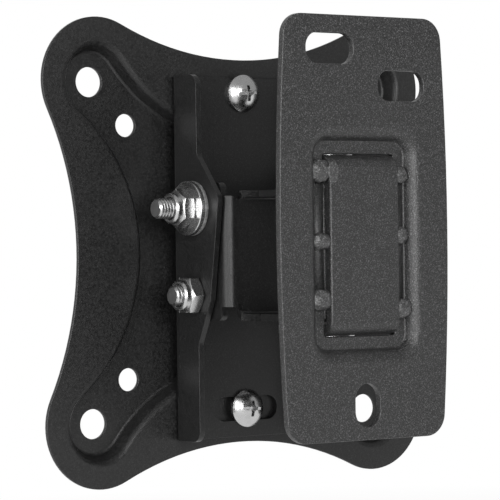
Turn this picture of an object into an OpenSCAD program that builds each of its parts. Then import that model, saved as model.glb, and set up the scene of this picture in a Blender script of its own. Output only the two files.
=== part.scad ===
// Tilting and swivelling wall mount for a small flat screen.
// Millimetres. The origin is the centre of the wall plate, on the face that lies on the wall.
// +Y points away from the wall, towards the screen, and +Z points up.

/* [Wall plate] */
// Width of the wall plate at its middle
plate_w = 60; // [58:1:72]
// Height of the wall plate
plate_h = 120; // [118:1:150]
// Thickness of the wall plate
plate_t = 2.2; // [1.6:0.1:2.6]
// How far each long side curves in by the time it reaches the end
plate_bow = 2.3; // [1:0.1:3]
// Radius of the corners of the wall plate
plate_corner = 6.5; // [4:0.5:9]
// Width of the slots for the wall screws
slot_w = 8.7; // [8.4:0.1:10]
// Length of the two upper slots
upper_slot_len = 16.6; // [13:0.1:18]
// Length of the lower slot
lower_slot_len = 12.2; // [11:0.1:15]
// Corner radius of the two upper slots
slot_corner = 4; // [2:0.1:4.1]
// Distance of the left slot from the middle of the plate
left_slot_x = 12; // [11:0.1:15]
// Distance of the left slot below the top edge
left_slot_drop = 9.5; // [8:0.1:12]
// Distance of the right slot from the middle of the plate
right_slot_x = 13.3; // [12:0.1:16]
// Distance of the right slot below the top edge
right_slot_drop = 19.6; // [18:0.1:21]
// Distance of the lower slot above the bottom edge
lower_slot_rise = 9.9; // [9:0.1:12]

/* [Pressed recess of the wall plate] */
// Depth of the recess that carries the bracket
recess_depth = 3.3; // [3:0.1:4.2]
// Inside radius of the bend at the top of the recess's wall
recess_crest = 2; // [1:0.1:2.2]
// Inside radius of the bend at the foot of the recess's wall
recess_foot = 0.6; // [0.4:0.1:0.8]
// Steepness of the recess's wall, in degrees
recess_angle = 68; // [55:1:72]
// Width of the flat ledge around the opening
ledge_w = 3.3; // [3:0.1:3.8]
// Radius of the ledge's outer corners
ledge_corner = 4; // [3:0.5:6]
// Gap between the opening and each side of the bracket
side_gap = 0.3; // [0.2:0.1:0.6]
// Gap between the opening and the bracket's top and bottom
end_gap = 0.3; // [0.2:0.1:0.8]

/* [Wall bracket] */
// Width of the wall bracket
bracket_w = 24.5; // [22:0.5:27]
// Outside height of the wall bracket
bracket_h = 51; // [50:0.5:56]
// Thickness of the wall bracket
bracket_t = 3; // [2.5:0.1:3.5]
// Distance of the legs' ends from the wall
bracket_len = 30; // [28:0.5:32]
// Inside bend radius of the wall bracket
bracket_bend = 1; // [0.5:0.1:2]
// How far the web lies behind the wall face
bracket_set = 0.3; // [0.1:0.1:1]
// Corner radius of the legs' ends
leg_corner = 6; // [3:0.5:8]
// Height of the plate's centre above the bracket's centre
bracket_drop = 4.8; // [3:0.1:6]
// Size across a weld bead
bead_d = 5.2; // [4.4:0.1:5.4]
// Length of a weld bead
bead_len = 5.8; // [5.5:0.1:7]
// Distance between the weld beads on one side
bead_pitch = 18.4; // [16:0.1:20]
// Height of the middle beads above the bracket's centre
bead_rise = 1.3; // [0:0.1:2]

/* [Swivel joint] */
// Distance of the swivel axis from the wall
pivot_y = 19; // [18:0.5:20]
// Diameter of the swivel bolt
swivel_d = 8; // [6:0.5:10]
// Size of the swivel bolt's head and nut across the flats
swivel_af = 13; // [13:0.5:17]
// Height of the swivel bolt's head
swivel_head_h = 5.3; // [4:0.1:7]
// Height of the swivel nut, with its collar
swivel_nut_h = 8; // [7:0.1:10]
// Outside diameter of the swivel washers
swivel_washer_d = 16; // [16:0.5:20]
// Thickness of the two plain swivel washers
swivel_washer_t = 1.6; // [1:0.1:2]
// Thickness of the two nylon washers that the bracket turns on
swivel_pad_t = 0.8; // [0.5:0.1:1.2]
// Outside diameter of the spacer above the upper tongue
spacer_d = 14; // [13:0.5:18]
// How far the bolt's end stands out of the nut
swivel_tail = 2; // [1:0.5:4]

/* [Tilt bracket] */
// Distance of the tilt bracket's web from the wall
web_y = 36.2; // [35.6:0.1:37]
// Thickness of the tilt bracket
tilt_t = 2; // [1.6:0.1:2.4]
// Inside bend radius of the tilt bracket
tilt_bend = 1; // [0.5:0.1:1.4]
// Height over the two tongues
tongue_span = 38; // [37:0.1:40]
// Half of a tongue's width
tongue_r = 12.5; // [11:0.5:13]
// Half of a tongue's width where it leaves the web
root_r = 18; // [16:0.5:18.5]
// Length of the taper at a tongue's root
root_len = 2; // [1:0.1:4]
// Height of the web beside the tongues
web_h = 32.2; // [31:0.1:34]
// Height of the legs of the tilt bracket
tilt_leg_h = 40.2; // [38:0.1:42]
// Distance of the legs' front edge behind the web's face
leg_set = 3; // [3:0.1:4]
// Radius of the relief at the corners of the web
relief_r = 1.2; // [0.8:0.1:1.5]

/* [Tilt bolts] */
// Diameter of the tilt bolts
tilt_d = 6; // [5:0.5:6.5]
// Size of the tilt bolts' heads and nuts across the flats
tilt_af = 10; // [9:0.5:11]
// Height of the tilt bolts' heads
tilt_head_h = 4; // [3:0.1:5]
// Height of the tilt nuts, with their collars
tilt_nut_h = 6; // [5:0.1:7]
// Distance between the two tilt bolts
bolt_gap = 25.4; // [24:0.1:27]
// Distance of the tilt bolts from the screen plate's rim
bolt_back = 11.6; // [11.4:0.1:12.4]
// Outside diameter of the large washers on the locking bolt
lock_washer_d = 16; // [15.6:0.1:17]
// Thickness of the large washers
lock_washer_t = 1.5; // [1:0.1:2]
// Thickness of the nylon washers under the large washers
lock_pad_t = 1.1; // [0.6:0.1:1.4]
// Thickness of the nylon washers between the two brackets
liner_t = 0.6; // [0.4:0.1:1]
// Outside diameter of the nylon washers between the two brackets
liner_d = 13; // [11:0.5:14]
// Thickness of the washer under the pivot bolt's head
pivot_washer_t = 1; // [0.8:0.1:1.6]
// How far the locking bolt's end stands out of its nut
lock_tail = 4.7; // [2:0.1:6]
// How far the pivot bolt's end stands out of its nut
pivot_tail = 1.9; // [1:0.1:4]
// Tilt each way from upright, in degrees
tilt_range = 10; // [6:0.5:10]

/* [Channel bracket] */
// Outside width of the channel
channel_w = 50; // [46:0.5:52]
// Thickness of the channel
channel_t = 1.8; // [1.5:0.1:2]
// Inside bend radius of the channel
channel_bend = 1.2; // [0.6:0.1:1.5]
// Height of the channel's top edge above the screen plate's centre
channel_top = 52; // [51:0.5:55]
// Height of the channel's bottom edge below the screen plate's centre
channel_bottom = 55.8; // [53:0.1:57]
// Depth of the ears at their ends
ear_end = 13.6; // [12:0.1:15]
// Depth of the ears at the locking bolt
ear_lock = 24.4; // [23:0.1:25]
// Depth of the ears at the pivot bolt
ear_pivot = 19.8; // [19:0.1:21]
// Height of the slope at each end of an ear's deep part
ear_slope = 12.6; // [10:0.1:14]
// Corner radius of the ears
ear_corner = 3.5; // [2:0.5:4]
// Width of the notch's mouth
notch_mouth = 10.7; // [9:0.1:12]
// Clearance around the screw in the notch
notch_gap = 0.3; // [0.3:0.05:0.5]
// Length of the levelling slot
level_slot_len = 23; // [23:0.1:25]
// Width of the levelling slot
level_slot_w = 7.2; // [7.2:0.1:8]

/* [Screen plate] */
// Distance of the screen plate's rim from the wall
rim_y = 61.5; // [61:0.1:63]
// Height of the wall plate's centre above the screen plate's centre
screen_drop = 6.2; // [5:0.1:7]
// Thickness of the screen plate
screen_t = 1.2; // [1:0.1:1.6]
// Hole spacing of the outer square pattern
outer_pitch = 100; // [96:1:104]
// Hole spacing of the inner square pattern
inner_pitch = 75; // [72:1:77]
// Diameter of the outer holes
outer_hole_d = 8.8; // [6:0.1:9.4]
// Diameter of the inner holes
inner_hole_d = 6.8; // [5:0.1:7.4]
// Radius of the plate's four lobes
lobe_r = 18.8; // [17:0.1:20]
// Height of the centre of a hollow side above the centres of its two lobes
side_rise = 105; // [95:1:130]
// Radius of the recess in the lobes, at the rim
press_lobe_r = 12.3; // [11.8:0.1:12.6]
// Height of the centre of a hollow side of the recess above the centres of its two lobes
press_rise = 37.5; // [36.5:0.5:38.5]
// Depth of the recess
press_depth = 5; // [4.6:0.1:5.4]
// Inside radius of the recess's two bends
press_bend = 1; // [0.6:0.1:1.2]
// Steepness of the recess's wall, in degrees
press_angle = 72; // [66:1:76]

/* [Screen screws] */
// Distance between the two screen screws
screw_gap = 94.6; // [94:0.1:96]
// Diameter of the screen screws
screw_d = 6; // [5:0.1:6]
// Diameter of the screws' pan heads
pan_d = 11.4; // [10.8:0.1:12]
// Height of the pan heads
pan_h = 3.9; // [3:0.1:4.5]
// Outside diameter of the nuts behind the rim
clinch_d = 11; // [10:0.5:13]
// Height of the nuts behind the rim
clinch_h = 4.4; // [3.6:0.1:4.6]
// Width of the arms of the cross recess
cross_w = 1.2; // [0.8:0.1:1.5]
// Length of the arms of the cross recess
cross_len = 6; // [4:0.1:7]
// Depth of the cross recess
cross_depth = 2.2; // [1.5:0.1:2.6]
// Depth of the slot that runs across the head
cross_slot_depth = 1.4; // [1:0.1:1.6]

/* [Hidden] */
$fn = 96;

// Radial clearance of a bolt that turns in its hole
running = 0.05;
// Radial clearance of a bolt in a plain hole
hole_gap = 0.2;
// Thread clearance of a nut on its bolt
thread_gap = 0.03;
// How far a cutter reaches past the face that it cuts
over = 1;
// Steps in a rounded corner of a profile, and in a bend of a pressed wall
corner_steps = 8;
bend_steps = 5;
// Flat at each end of a pressed wall's section, and how far the sheets reach into it
lap = 1;
joint = 0.5;
// Steps of a circle that is many times larger than the piece it bounds
fine = 1440;

// Heights and places that the pieces share
bracket_z = -bracket_drop;
screen_z = -screen_drop;
leg_inner = bracket_h / 2 - bracket_t;
tongue_bottom = bracket_z - leg_inner + swivel_pad_t;
tongue_top = tongue_bottom + tongue_span;
spacer_len = bracket_z + leg_inner - tongue_top - swivel_pad_t;
bolt_y = rim_y - bolt_back;
lock_z = screen_z + bolt_gap / 2;
pivot_z = screen_z - bolt_gap / 2;
ear_inner = channel_w / 2 - channel_t;
tilt_w = 2 * (ear_inner - liner_t);
base_y = rim_y - channel_t;

// Turns a plan drawn in x and y, with thickness in z, to face the wall: x stays, y goes up, z goes to +Y
module facing() rotate([90, 0, 0]) mirror([0, 0, 1]) children();

// Extrudes a profile drawn in y and z along X, centred on the middle of the mount
module across(width) rotate([90, 0, 90]) linear_extrude(width, center = true) children();

// Stands a shape that was drawn along +Z along +X instead
module along_x() rotate([0, 90, 0]) children();

// Places a copy on the left and on the right
module both_sides() {
    children();
    mirror([1, 0, 0]) children();
}

// Rectangle with round corners, centred
module round_rect(size, r) {
    square([size.x - 2 * r, size.y], center = true);
    square([size.x, size.y - 2 * r], center = true);
    for (x = [-1, 1], y = [-1, 1])
        translate([x * (size.x / 2 - r), y * (size.y / 2 - r)]) circle(r);
}

// Part of a ring between two angles less than half a turn apart
module ring_sector(r1, r2, a1, a2) {
    reach = 2 * r2 / cos((a2 - a1) / 4);
    intersection() {
        difference() {
            circle(r2);
            circle(r1);
        }
        polygon([[0, 0], for (k = [0:2]) let (a = a1 + (a2 - a1) * k / 2) reach * [cos(a), sin(a)]]);
    }
}

// Points of a closed outline whose corners are rounded; each corner is [x, y, radius]
function rounded(corners) = [
    for (k = [0:len(corners) - 1])
        let (
            n = len(corners),
            p = corners[k],
            here = [p.x, p.y],
            before = corners[(k + n - 1) % n],
            after = corners[(k + 1) % n],
            u = unit([before.x, before.y] - here),
            v = unit([after.x, after.y] - here),
            half = acos(u * v) / 2,
            middle = here + unit(u + v) * p[2] / sin(half),
            start = here + u * p[2] / tan(half) - middle,
            turn = (u.x * v.y - u.y * v.x > 0 ? -1 : 1) * (180 - 2 * half)
        )
        for (s = [0:p[2] > 0 ? corner_steps : 0])
            middle + turned(start, turn * s / corner_steps)
];
function unit(v) = v / norm(v);
function turned(v, a) = [v.x * cos(a) - v.y * sin(a), v.x * sin(a) + v.y * cos(a)];

// Width that a pressed wall between two bends takes. It is in whole hundredths, so that sweeps
// round different centres meet without a step
function press_run(depth, t, bends, angle) =
    let (turn = bends[0] + bends[1] + t, straight = (depth - turn * (1 - cos(angle))) / sin(angle))
    ceil(100 * (turn * sin(angle) + straight * cos(angle))) / 100;
// Angle of the wall that takes just that width
function true_angle(depth, t, bends, run) =
    let (turn = bends[0] + bends[1] + t, straight = sqrt(run * run + pow(turn - depth, 2) - turn * turn))
    atan2(turn, straight) - atan2(turn - depth, run);

// Points of an arc about a centre
function arc(centre, r, a1, a2) = [
    for (k = [0:bend_steps]) let (a = a1 + (a2 - a1) * k / bend_steps) centre + r * [cos(a), sin(a)]
];

// Section of a pressed wall: its foot is at x = 0 and its crest at x = run. Bends are the inside
// radii of the crest and the foot. A short flat at each end lies inside the sheet that the wall joins
module press_section(depth, t, bends, run) {
    angle = true_angle(depth, t, bends, run);
    crest = [run, bends[0] + t];
    foot = [0, depth - bends[1]];
    polygon(concat(
        [[run + lap, t], [run + lap, 0]],
        arc(crest, bends[0] + t, -90, -90 - angle),
        arc(foot, bends[1], 90 - angle, 90),
        [[-lap, depth], [-lap, depth + t]],
        arc(foot, bends[1] + t, 90, 90 - angle),
        arc(crest, bends[0], -90 - angle, -90)
    ));
}

// Hexagon prism with its corners chamfered at the far end, and at the near end where both is true
module hex_prism(af, h, both = false) {
    corner = af / cos(30) / 2;
    cut = (corner - af / 2) * tan(30);
    intersection() {
        cylinder(h, r = corner, $fn = 6);
        rotate_extrude()
            polygon([[0, 0], [both ? af / 2 : corner, 0], [corner, both ? cut : 0],
                     [corner, h - cut], [af / 2, h], [0, h]]);
    }
}

// Hexagon bolt: the underside of its head is at z = 0 and its shank runs to +Z
module hex_bolt(d, af, head_h, length) {
    tip = d / 8;
    mirror([0, 0, 1]) hex_prism(af, head_h);
    cylinder(length - tip, d = d);
    translate([0, 0, length - tip]) cylinder(tip, d1 = d, d2 = d - 2 * tip);
}

// Plain washer on z = 0
module washer(hole, d, t) {
    difference() {
        cylinder(t, d = d);
        translate([0, 0, -over]) cylinder(t + 2 * over, d = hole);
    }
}

// Shares of a locking nut's height that its hexagon takes, and of its width that its collar and insert take
nut_hex_share = 0.72;
nut_collar_share = 0.92;
nut_insert_share = 0.8;

// Locking nut that seats on z = 0, with a round collar that holds a nylon ring
module lock_nut_body(d, af, h) {
    hex_h = h * nut_hex_share;
    lip = h / 20;
    difference() {
        union() {
            hex_prism(af, hex_h, true);
            cylinder(h - 2 * lip, d = af * nut_collar_share);
            translate([0, 0, h - 2 * lip])
                cylinder(2 * lip, d1 = af * nut_collar_share, d2 = af * nut_insert_share + lip);
        }
        translate([0, 0, -over]) cylinder(h + 2 * over, d = d + 2 * thread_gap);
        translate([0, 0, hex_h]) cylinder(h, d = af * nut_insert_share);
    }
}

// Nylon ring of that nut
module lock_nut_ring(d, af, h) {
    hex_h = h * nut_hex_share;
    translate([0, 0, hex_h]) washer(d + 2 * thread_gap, af * nut_insert_share, h * (0.9 - nut_hex_share));
}

// Wall plate

// Outline with gently curved long sides and round corners
module plate_outline() {
    half_w = plate_w / 2;
    half_h = plate_h / 2;
    side_r = (half_h * half_h + plate_bow * plate_bow) / (2 * plate_bow);
    corner_y = half_h - plate_corner;
    corner_x = half_w - side_r + sqrt(pow(side_r - plate_corner, 2) - corner_y * corner_y);
    touch_y = corner_y * side_r / (side_r - plate_corner);
    intersection() {
        square([plate_w, 2 * touch_y], center = true);
        translate([half_w - side_r, 0]) circle(side_r, $fn = fine);
        translate([side_r - half_w, 0]) circle(side_r, $fn = fine);
    }
    square([2 * corner_x, plate_h], center = true);
    for (x = [-1, 1], y = [-1, 1]) translate([x * corner_x, y * corner_y]) circle(plate_corner);
}

// Opening for the bracket, and the ledge around it
opening = [bracket_w + 2 * side_gap, bracket_h + 2 * end_gap];
ledge = opening + [2, 2] * ledge_w;
recess_bends = [recess_crest, recess_foot];
recess_run = press_run(recess_depth, plate_t, recess_bends, recess_angle);
crest_size = ledge + [2, 2] * recess_run;

module recess_section() press_section(recess_depth, plate_t, recess_bends, recess_run);

module recess_wall() {
    straight = ledge - [2, 2] * ledge_corner;
    for (a = [0, 180]) rotate(a) {
        rotate([90, 0, 0]) linear_extrude(straight.y, center = true)
            translate([ledge.x / 2, 0]) recess_section();
        rotate([90, 0, 90]) linear_extrude(straight.x, center = true)
            translate([ledge.y / 2, 0]) recess_section();
    }
    for (a = [0:3])
        translate([(a == 0 || a == 3 ? 1 : -1) * straight.x / 2, (a < 2 ? 1 : -1) * straight.y / 2])
            rotate(a * 90) rotate_extrude(angle = 90)
                translate([ledge_corner, 0]) recess_section();
}

module wall_plate() {
    half_h = plate_h / 2;
    opening_corner = side_gap + end_gap;
    color("dimgray") facing() {
        difference() {
            linear_extrude(plate_t) difference() {
                plate_outline();
                translate([0, bracket_z])
                    round_rect(crest_size + [2, 2] * joint, ledge_corner + recess_run + joint);
            }
            translate([0, 0, -over]) linear_extrude(plate_t + 2 * over) {
                translate([-left_slot_x, half_h - left_slot_drop])
                    round_rect([upper_slot_len, slot_w], slot_corner);
                translate([right_slot_x, half_h - right_slot_drop])
                    round_rect([upper_slot_len, slot_w], slot_corner);
                translate([0, lower_slot_rise - half_h]) {
                    square([slot_w, lower_slot_len - slot_w], center = true);
                    for (y = [-1, 1]) translate([0, y * (lower_slot_len - slot_w) / 2]) circle(d = slot_w);
                }
            }
        }
        translate([0, bracket_z, 0]) recess_wall();
        translate([0, bracket_z, recess_depth]) linear_extrude(plate_t) difference() {
            round_rect(ledge - [2, 2] * joint, ledge_corner - joint);
            round_rect(opening, opening_corner);
        }
    }
}

// Wall bracket

module wall_bracket() {
    depth = bracket_len - bracket_set;
    outer_bend = bracket_bend + bracket_t;
    color([0.16, 0.16, 0.17]) translate([0, bracket_set, bracket_z]) difference() {
        intersection() {
            across(bracket_w) difference() {
                translate([depth, 0]) round_rect([2 * depth, bracket_h], outer_bend);
                translate([depth + bracket_t, 0]) round_rect([2 * depth, 2 * leg_inner], bracket_bend);
                translate([depth, -bracket_h]) square([2 * depth, 2 * bracket_h]);
            }
            linear_extrude(2 * bracket_h, center = true)
                round_rect([bracket_w, 2 * depth], leg_corner);
        }
        translate([0, pivot_y - bracket_set, 0])
            cylinder(2 * bracket_h, r = swivel_d / 2 + hole_gap, center = true);
    }
}

// Six beads, three on each side of the web
module weld_beads() {
    ledge_y = recess_depth;
    r = bead_d / 2;
    color([0.2, 0.2, 0.2]) both_sides()
        for (k = [-1:1])
            translate([0, 0, bracket_z + bead_rise + k * bead_pitch]) difference() {
                translate([bracket_w / 2 + r / 10, ledge_y - r / 10, 0]) {
                    cylinder(bead_len - bead_d, r = r, center = true);
                    for (z = [-1, 1]) translate([0, 0, z * (bead_len - bead_d) / 2]) sphere(r);
                }
                cube([bracket_w, 8 * r, 4 * bead_len], center = true);
                translate([opening.x / 2, ledge_y, -bead_len]) cube([4 * r, 4 * r, 2 * bead_len]);
                translate([0, ledge_y + plate_t, -bead_len]) cube([bracket_w, 4 * r, 2 * bead_len]);
            }
}

// Swivel joint

leg_top = bracket_z + bracket_h / 2;
leg_bottom = bracket_z - bracket_h / 2;
swivel_len = bracket_h + 2 * swivel_washer_t + swivel_nut_h + swivel_tail;

module on_swivel(z) translate([0, pivot_y, z]) children();

module swivel_bolt()
    color("silver") on_swivel(leg_top + swivel_washer_t) mirror([0, 0, 1])
        hex_bolt(swivel_d, swivel_af, swivel_head_h, swivel_len);

module swivel_head_washer()
    color("lightgray") on_swivel(leg_top) washer(swivel_d + 2 * hole_gap, swivel_washer_d, swivel_washer_t);

module swivel_spacer()
    color("lightgray") on_swivel(tongue_top + swivel_pad_t)
        washer(swivel_d + 2 * hole_gap, spacer_d, spacer_len);

module swivel_upper_pad()
    color("gainsboro") on_swivel(tongue_top) washer(swivel_d + 2 * hole_gap, swivel_washer_d, swivel_pad_t);

module swivel_lower_pad()
    color("gainsboro") on_swivel(tongue_bottom - swivel_pad_t)
        washer(swivel_d + 2 * hole_gap, swivel_washer_d, swivel_pad_t);

module swivel_nut_washer()
    color("lightgray") on_swivel(leg_bottom - swivel_washer_t)
        washer(swivel_d + 2 * hole_gap, swivel_washer_d, swivel_washer_t);

module swivel_nut()
    color("silver") on_swivel(leg_bottom - swivel_washer_t) mirror([0, 0, 1])
        lock_nut_body(swivel_d, swivel_af, swivel_nut_h);

module swivel_nut_insert()
    color("royalblue") on_swivel(leg_bottom - swivel_washer_t) mirror([0, 0, 1])
        lock_nut_ring(swivel_d, swivel_af, swivel_nut_h);

// Tilt bracket

// Reach of the legs from the pivot bolt towards the channel's base, which the base clears as it tilts
leg_reach = bolt_back - channel_t - channel_bend / 2;

// Side view of a leg, in y and z. Its back edge lies along the base at either end of the tilt
function leg_outline() =
    let (
        front = web_y + leg_set,
        half = tilt_leg_h / 2,
        above = half + bolt_gap / 2,
        below = half - bolt_gap / 2
    )
    rounded([[front, screen_z - half, 2],
             [bolt_y + (leg_reach - below * sin(tilt_range)) / cos(tilt_range), screen_z - half, 1],
             [bolt_y + leg_reach / cos(tilt_range), pivot_z, leg_reach],
             [bolt_y + (leg_reach - above * sin(tilt_range)) / cos(tilt_range), screen_z + half, 2],
             [front, screen_z + half, 2]]);

module tilt_bracket() {
    outer_bend = tilt_bend + tilt_t;
    tongue_mid = (tongue_top + tongue_bottom) / 2;
    depth = rim_y - web_y;
    color([0.15, 0.15, 0.16]) difference() {
        union() {
            // Web and legs
            intersection() {
                translate([0, web_y, screen_z]) linear_extrude(tilt_leg_h, center = true) difference() {
                    translate([0, depth]) round_rect([tilt_w, 2 * depth], outer_bend);
                    translate([0, depth + tilt_t]) round_rect([tilt_w - 2 * tilt_t, 2 * depth], tilt_bend);
                    translate([-tilt_w, depth]) square([2 * tilt_w, 2 * depth]);
                }
                across(tilt_w) {
                    polygon(leg_outline());
                    translate([web_y - over, screen_z - web_h / 2]) square([leg_set + 2 * over, web_h]);
                }
            }
            // Web and tongues
            intersection() {
                translate([0, 0, tongue_mid]) across(2 * root_r) difference() {
                    round_rect([2 * (web_y + tilt_t), tongue_span], outer_bend);
                    translate([-tilt_t, 0])
                        round_rect([2 * (web_y + tilt_t), tongue_span - 2 * tilt_t], tilt_bend);
                }
                translate([0, 0, tongue_mid]) linear_extrude(2 * tongue_span, center = true) {
                    translate([0, pivot_y]) circle(tongue_r);
                    translate([-tongue_r, pivot_y]) square([2 * tongue_r, web_y + tilt_t - pivot_y]);
                    polygon([[-tongue_r, web_y - root_len], [tongue_r, web_y - root_len], [root_r, web_y],
                             [root_r, web_y + tilt_t], [-root_r, web_y + tilt_t], [-root_r, web_y]]);
                }
            }
        }
        translate([0, pivot_y, bracket_z]) cylinder(bracket_h, r = swivel_d / 2 + running, center = true);
        translate([-tilt_w, bolt_y, lock_z]) along_x() cylinder(2 * tilt_w, r = tilt_d / 2 + hole_gap);
        translate([-tilt_w, bolt_y, pivot_z]) along_x() cylinder(2 * tilt_w, r = tilt_d / 2 + hole_gap);
        for (x = [-1, 1], z = [-1, 1])
            translate([x * (root_r + relief_r / 2), web_y, screen_z + z * web_h / 2])
                rotate([90, 0, 0]) cylinder(4 * tilt_t, r = relief_r, center = true);
    }
}

// Tilt bolts. Both run from right to left, and their nuts are on the left

ear_x = channel_w / 2;
lock_stack = lock_pad_t + lock_washer_t;
lock_len = channel_w + 2 * lock_stack + tilt_nut_h + lock_tail;
pivot_len = channel_w + pivot_washer_t + tilt_nut_h + pivot_tail;

// Puts a shape drawn along +Z on a tilt bolt's axis, where it points to the left from x
module left_from(x, z, turn = 0) translate([x, bolt_y, z]) rotate([0, -90, 0]) rotate(turn) children();

module pivot_bolt()
    color("silver") left_from(ear_x + pivot_washer_t, pivot_z, 30)
        hex_bolt(tilt_d, tilt_af, tilt_head_h, pivot_len);

module pivot_head_washer()
    color("lightgray") left_from(ear_x + pivot_washer_t, pivot_z)
        washer(tilt_d + 2 * hole_gap, 1.2 * tilt_af, pivot_washer_t);

// One on each side, between the ear and the leg
module pivot_liners()
    color("gainsboro") both_sides()
        left_from(ear_inner, pivot_z) washer(tilt_d + 2 * hole_gap, liner_d, liner_t);

module pivot_nut()
    color("silver") left_from(-ear_x, pivot_z, 30) lock_nut_body(tilt_d, tilt_af, tilt_nut_h);

module pivot_nut_insert()
    color("royalblue") left_from(-ear_x, pivot_z) lock_nut_ring(tilt_d, tilt_af, tilt_nut_h);

module lock_bolt()
    color("silver") left_from(ear_x + lock_stack, lock_z) hex_bolt(tilt_d, tilt_af, tilt_head_h, lock_len);

module lock_head_washer()
    color("silver") left_from(ear_x + lock_stack, lock_z)
        washer(tilt_d + 2 * hole_gap, lock_washer_d, lock_washer_t);

module lock_nut_washer()
    color("silver") left_from(-ear_x - lock_pad_t, lock_z)
        washer(tilt_d + 2 * hole_gap, lock_washer_d, lock_washer_t);

// One on the outside of each ear
module lock_pads()
    color("gray") both_sides()
        left_from(ear_x + lock_pad_t, lock_z) washer(tilt_d + 2 * hole_gap, lock_washer_d, lock_pad_t);

// One on each side, between the ear and the leg
module lock_liners()
    color("gainsboro") both_sides()
        left_from(ear_inner, lock_z) washer(tilt_d + 2 * hole_gap, 1.4 * tilt_d, liner_t);

module lock_nut()
    color("silver") left_from(-ear_x - lock_stack, lock_z) lock_nut_body(tilt_d, tilt_af, tilt_nut_h);

module lock_nut_insert()
    color("royalblue") left_from(-ear_x - lock_stack, lock_z) lock_nut_ring(tilt_d, tilt_af, tilt_nut_h);

// Channel bracket

// Side view of an ear, in y and z
function ear_outline() =
    let (
        top = screen_z + channel_top,
        bottom = screen_z - channel_bottom,
        end_y = rim_y - ear_end,
        lock_edge = lock_z + tilt_d / 2,
        pivot_edge = pivot_z - tilt_d / 4
    )
    rounded([[end_y, bottom, ear_corner], [end_y, pivot_edge - ear_slope, ear_corner],
             [rim_y - ear_pivot, pivot_edge, ear_corner], [rim_y - ear_lock, lock_edge, ear_corner],
             [end_y, lock_edge + ear_slope, ear_corner], [end_y, top, ear_corner],
             [rim_y + over, top, 0], [rim_y + over, bottom, 0]]);

// Screw positions on the channel and the screen plate
top_screw_z = screen_z + screw_gap / 2;
bottom_screw_z = screen_z - screw_gap / 2;

module channel_bracket() {
    outer_bend = channel_bend + channel_t;
    height = channel_top + channel_bottom;
    middle_z = screen_z + (channel_top - channel_bottom) / 2;
    lock_slot_r = tilt_d / 2 + hole_gap;
    notch_r = screw_d / 2 + notch_gap;
    notch_flare = (notch_mouth / 2 - notch_r) / 2;
    color([0.13, 0.13, 0.14]) difference() {
        intersection() {
            translate([0, rim_y, middle_z]) linear_extrude(height, center = true) difference() {
                translate([0, -ear_lock]) round_rect([channel_w, 2 * ear_lock], outer_bend);
                translate([0, -ear_lock - channel_t])
                    round_rect([channel_w - 2 * channel_t, 2 * ear_lock], channel_bend);
                translate([-channel_w, -3 * ear_lock]) square([2 * channel_w, 2 * ear_lock]);
            }
            across(channel_w + over) polygon(ear_outline());
        }
        // Holes for the pivot bolt and curved slots for the locking bolt
        across(channel_w + 2 * over) translate([bolt_y, pivot_z]) {
            circle(tilt_d / 2 + running);
            ring_sector(bolt_gap - lock_slot_r, bolt_gap + lock_slot_r, 90 - tilt_range, 90 + tilt_range);
            for (a = [-1, 1]) rotate(90 + a * tilt_range) translate([bolt_gap, 0]) circle(lock_slot_r);
        }
        // Open notch for the top screw and slot for the bottom screw
        translate([0, base_y - over, 0]) facing() linear_extrude(channel_t + 2 * over) {
            translate([0, top_screw_z]) {
                circle(notch_r);
                translate([-notch_r, 0]) square([2 * notch_r, channel_top]);
            }
            translate([0, screen_z + channel_top])
                polygon([[-notch_r, -2 * notch_flare], [notch_r, -2 * notch_flare],
                         [notch_mouth / 2, over], [-notch_mouth / 2, over]]);
            translate([0, bottom_screw_z]) {
                square([level_slot_len - level_slot_w, level_slot_w], center = true);
                for (x = [-1, 1]) translate([x * (level_slot_len - level_slot_w) / 2, 0])
                    circle(d = level_slot_w);
            }
        }
    }
}

// Screen plate

// Outline with four round lobes on the outer holes and four hollow sides.
// Rise is the height of a hollow side's centre above the centres of its lobes
module lobed(r, rise) {
    c = outer_pitch / 2;
    reach = norm([c, rise]);
    near = c - c * r / reach;
    far = c + rise * r / reach;
    difference() {
        union() {
            polygon([[near, far], [-near, far], [-far, near], [-far, -near],
                     [-near, -far], [near, -far], [far, -near], [far, near]]);
            for (x = [-c, c], y = [-c, c]) translate([x, y]) circle(r);
        }
        for (a = [0:3]) rotate(90 * a) translate([0, c + rise]) circle(reach - r);
    }
}

// Part of a full sweep that lies inside an outline
module sector(outline) intersection() {
    children();
    translate([0, 0, -over]) linear_extrude(press_depth + screen_t + 2 * over) polygon(outline);
}

press_bends = [press_bend, press_bend];
screen_run = press_run(press_depth, screen_t, press_bends, press_angle);

module screen_section() press_section(press_depth, screen_t, press_bends, screen_run);

// Wall of the recess, swept round each lobe and along each hollow side.
// The sweeps meet on the lines between the lobes' centres and the hollow sides' centres
module screen_press() {
    c = outer_pitch / 2;
    hollow_y = c + press_rise;
    past = 1.2;
    for (a = [0:3]) rotate(90 * a) {
        sector([[c, c], [0, hollow_y], [2 * hollow_y, hollow_y], [hollow_y, 0]])
            translate([c, c]) rotate_extrude() translate([press_lobe_r - screen_run, 0]) screen_section();
        sector([[0, hollow_y], [past * c, hollow_y - past * press_rise], [past * c, 0],
                [-past * c, 0], [-past * c, hollow_y - past * press_rise]])
            translate([0, hollow_y]) rotate_extrude()
                translate([norm([c, press_rise]) - press_lobe_r + screen_run, 0]) mirror([1, 0]) screen_section();
    }
}

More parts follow.
